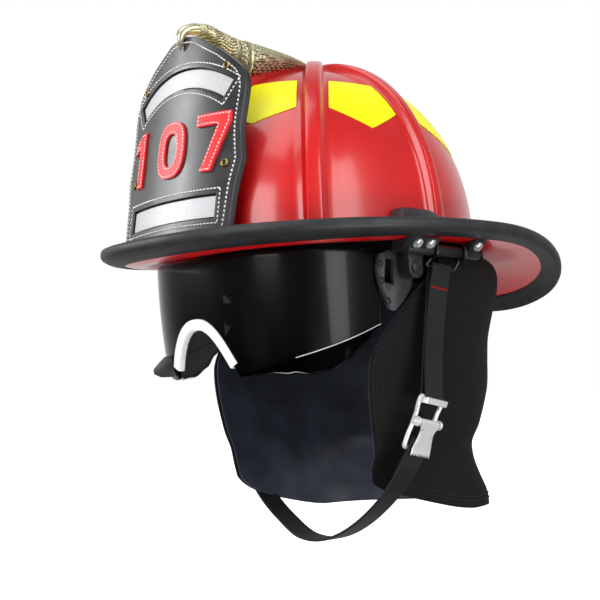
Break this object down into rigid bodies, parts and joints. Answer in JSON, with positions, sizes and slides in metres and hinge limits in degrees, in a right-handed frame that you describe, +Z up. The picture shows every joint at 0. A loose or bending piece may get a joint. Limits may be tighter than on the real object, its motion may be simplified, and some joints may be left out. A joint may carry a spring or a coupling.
{
  "type": "traditional fire helmet",
  "caption": "Traditional fire helmet: ribbed dome with swept brim, leather front, eagle holder, wrap-round eye shield, neck protector and chin strap.",
  "frame": {"origin": "centre of the head opening at the level of the brim's root", "axes": "+Z up, -Y to the front of the helmet, +X to the wearer's left"},
  "size_m": [0.2824, 0.3814, 0.3814],
  "materials": {
    "shell_red": "deep red gloss gel coat",
    "trim_rubber": "satin black rubber",
    "reflective": "yellow prismatic film",
    "leather_front": "smooth black leather",
    "leather_back": "plain black leather",
    "window_panel": "smooth white leather",
    "rivet_brass": "aged",
    "bracket_black": "satin black",
    "cast_brass": "antiqued casting",
    "foam": "matt foam",
    "webbing": "woven webbing",
    "band_plastic": "moulded",
    "pad_cloth": "soft knit",
    "cape_cloth": "dense black cloth",
    "lining_cloth": "smooth dark lining",
    "bright_steel": "polished",
    "cap_plastic": "moulded",
    "wire_steel": "dark wire",
    "lens_clear": "clear polycarbonate",
    "nose_rubber": "soft white rubber",
    "arm_plastic": "dark grey moulding"
  },
  "bodies": {
    "helmet": {"shell": "shell_red", "edge_trim": "trim_rubber", "reflective_panels": "reflective", "shield_face": "leather_front", "shield_backing": "leather_back", "shield_upper_panel": "window_panel", "shield_lower_panel": "window_panel", "shield_rivets": "rivet_brass", "shield_bracket": "bracket_black", "eagle_holder": "cast_brass", "impact_liner": "foam", "crown_straps": "webbing", "headband": "band_plastic", "brow_pad": "pad_cloth", "ratchet_housing": "band_plastic", "neck_protector": "cape_cloth", "neck_protector_lining": "lining_cloth", "bracket_left": "bracket_black", "bracket_right": "bracket_black", "bracket_screws_left": "bright_steel", "bracket_screws_right": "bright_steel", "bracket_cap_left": "cap_plastic", "bracket_cap_right": "cap_plastic", "strap_ring_left": "wire_steel", "strap_ring_right": "wire_steel", "pivot_pin_left": "bracket_black", "pivot_pin_right": "bracket_black", "strap_loop_left": "webbing", "strap_loop_right": "webbing", "strap_lower": "webbing", "strap_end_loop": "band_plastic", "buckle_frame": "bright_steel", "buckle_pin": "bright_steel"},
    "visor": {"visor_lens": "lens_clear", "visor_nose_trim": "nose_rubber", "visor_arm_left": "arm_plastic", "visor_arm_right": "arm_plastic", "visor_rivets_left": "arm_plastic", "visor_rivets_right": "arm_plastic", "visor_grip_tab": "arm_plastic"},
    "ratchet_knob": {"ratchet_knob": "band_plastic"},
    "buckle_lever": {"buckle_lever": "bright_steel"}
  },
  "joints": [
    {"name": "visor_swing", "type": "hinge", "parent": "helmet", "child": "visor", "pos_m": [0, -0.008, -0.024], "axis": [-1, 0, 0], "range_deg": [0, 24]},
    {"name": "ratchet_knob_turn", "type": "hinge", "parent": "helmet", "child": "ratchet_knob", "pos_m": [0, 0.1053, -0.024], "axis": [0, 1, 0], "continuous": true},
    {"name": "buckle_lever_open", "type": "hinge", "parent": "helmet", "child": "buckle_lever", "pos_m": [0.10965, -0.00783, -0.13347], "axis": [0.0642, -0.9781, 0.1977], "range_deg": [0, 70]}
  ]
}
